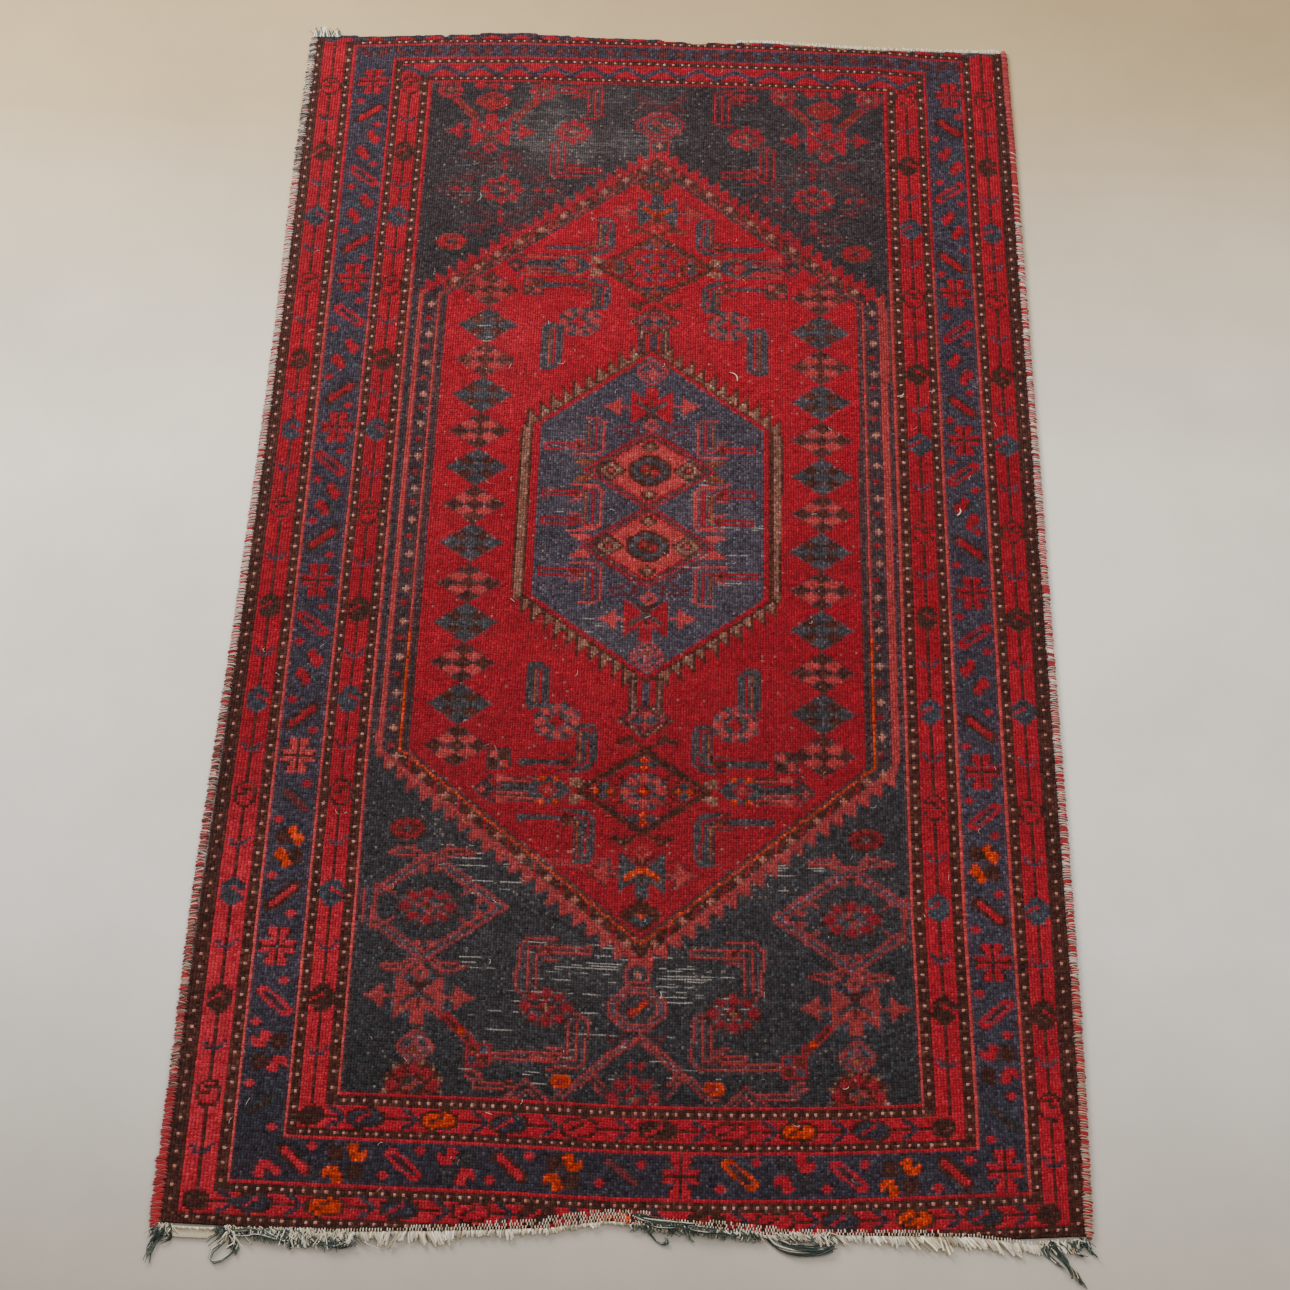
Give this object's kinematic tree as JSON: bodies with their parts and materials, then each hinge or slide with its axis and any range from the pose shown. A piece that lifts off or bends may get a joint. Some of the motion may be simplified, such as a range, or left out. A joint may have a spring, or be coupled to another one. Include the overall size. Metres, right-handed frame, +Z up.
{
  "type": "oriental rug",
  "caption": "Hand-knotted wool village rug with a central medallion, triple border, whipped side cords and worn fringed ends, lying flat.",
  "frame": {"origin": "centre of the rug's outline, on the floor", "axes": "+Z up out of the pile, +Y along the length towards the upper end, +X across to the right as seen from the lower end"},
  "size_m": [1.2751, 2.2829, 0.0089],
  "materials": {
    "pile": "worn knotted wool pile, mostly madder red with dark blue-black, blue and brown",
    "side_cord": "wool yarn whipped over cotton warps, red with cream and brown",
    "warp": "undyed cream cotton warp ends, matt",
    "green_yarn": "bottle-green plied cotton yarn, matt"
  },
  "bodies": {
    "root": {"pile_cloth": "pile", "side_cord_left": "side_cord", "side_cord_right": "side_cord", "lower_fringe": "warp", "upper_fringe": "warp", "green_yarn_corner_left": "green_yarn", "green_yarn_left": "green_yarn", "green_yarn_mid_left": "green_yarn", "green_yarn_middle": "green_yarn", "green_yarn_mid_right": "green_yarn", "green_yarn_corner_right": "green_yarn", "green_yarn_top_left": "green_yarn"}
  },
  "joints": []
}
